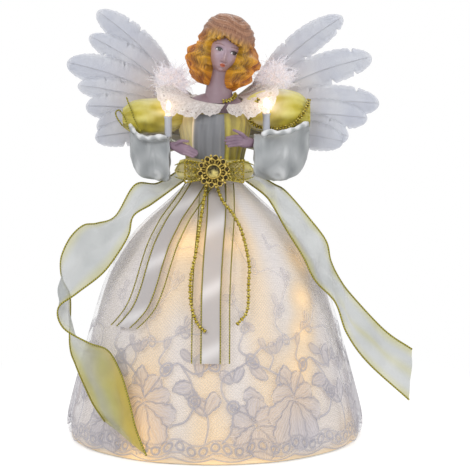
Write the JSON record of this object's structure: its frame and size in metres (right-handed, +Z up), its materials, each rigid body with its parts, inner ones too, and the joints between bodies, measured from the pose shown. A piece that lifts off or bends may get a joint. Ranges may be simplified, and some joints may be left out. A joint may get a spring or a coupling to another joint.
{
  "type": "angel tree topper",
  "caption": "Lit angel tree topper: a bell form under a gathered lace skirt, with a resin bust and hands, satin sleeves, an organza bow with long tails and fold-back feather wings.",
  "frame": {"origin": "on the bell's axis, in the plane of the rim that it stands on", "axes": "+Z up the bell's axis to the head, -Y the way the figure faces, +X to the right as seen from the front"},
  "size_m": [0.2523, 0.2167, 0.3066],
  "materials": {
    "bell_form_plastic": "moulded translucent cream",
    "harness_pvc": "extruded PVC insulation",
    "lamp_plastic": "moulded clear lens and pale socket",
    "lining_fabric": "ribbed woven lining, warm cream",
    "lace_fabric": "machine lace on net",
    "satin": "satin weave, silver white",
    "organza": "sheer yellow-gold organza",
    "sheer_ribbon": "wired sheer ribbon",
    "gold_mesh": "gold lurex mesh",
    "antique_gold": "cast, antiqued gold plate",
    "rhinestone": "faceted, foil backed",
    "gold_beads": "metallised gold",
    "painted_resin": "cast polyresin, hand painted skin",
    "painted_hair_resin": "cast polyresin, painted golden hair",
    "steel_wire": "drawn",
    "felt": "white craft felt",
    "feather": "trimmed pale feather",
    "feather_down": "pinkish feather down"
  },
  "bodies": {
    "root": {"bell_form": "bell_form_plastic", "wire_harness": "harness_pvc", "skirt_lamp_1": "lamp_plastic", "skirt_lamp_2": "lamp_plastic", "skirt_lamp_3": "lamp_plastic", "skirt_lamp_4": "lamp_plastic", "skirt_lamp_5": "lamp_plastic", "skirt_lamp_6": "lamp_plastic", "skirt_lamp_7": "lamp_plastic", "skirt_lamp_8": "lamp_plastic", "left_shoulder_lamp": "lamp_plastic", "right_shoulder_lamp": "lamp_plastic", "lining_skirt": "lining_fabric", "lace_skirt": "lace_fabric", "bodice": "organza", "front_panel": "satin", "waist_band": "organza", "lurex_bow": "gold_mesh", "brooch": "antique_gold", "brooch_stone": "rhinestone", "left_streamer": "satin", "centre_streamer": "satin", "left_bead_strand": "gold_beads", "right_bead_strand": "gold_beads", "bust": "painted_resin", "hair": "painted_hair_resin", "neckline_braid": "gold_beads", "arm_wire": "steel_wire", "right_puff_braid": "gold_beads", "back_patch": "felt", "left_hand": "painted_resin", "left_puff": "organza", "left_sleeve": "satin", "left_lace_collar": "lace_fabric", "left_bow_loop": "organza", "left_ribbon_tail": "sheer_ribbon", "right_hand": "painted_resin", "right_puff": "organza", "right_sleeve": "satin", "right_lace_collar": "lace_fabric", "right_bow_loop": "organza", "right_ribbon_tail": "sheer_ribbon"},
    "left_wing": {"left_wing_backing": "felt", "left_feather_1": "feather", "left_feather_2": "feather", "left_feather_3": "feather", "left_feather_4": "feather", "left_feather_5": "feather", "left_feather_6": "feather", "left_feather_7": "feather", "left_down": "feather_down"},
    "right_wing": {"right_wing_backing": "felt", "right_feather_1": "feather", "right_feather_2": "feather", "right_feather_3": "feather", "right_feather_4": "feather", "right_feather_5": "feather", "right_feather_6": "feather", "right_feather_7": "feather", "right_down": "feather_down"}
  },
  "joints": [
    {"name": "left_wing_fold", "type": "hinge", "parent": "root", "child": "left_wing", "pos_m": [-0.008, 0.0225, 0.224], "axis": [0, 0, -1], "range_deg": [0, 60]},
    {"name": "right_wing_fold", "type": "hinge", "parent": "root", "child": "right_wing", "pos_m": [0.008, 0.0225, 0.224], "axis": [0, 0, 1], "range_deg": [0, 60]}
  ]
}
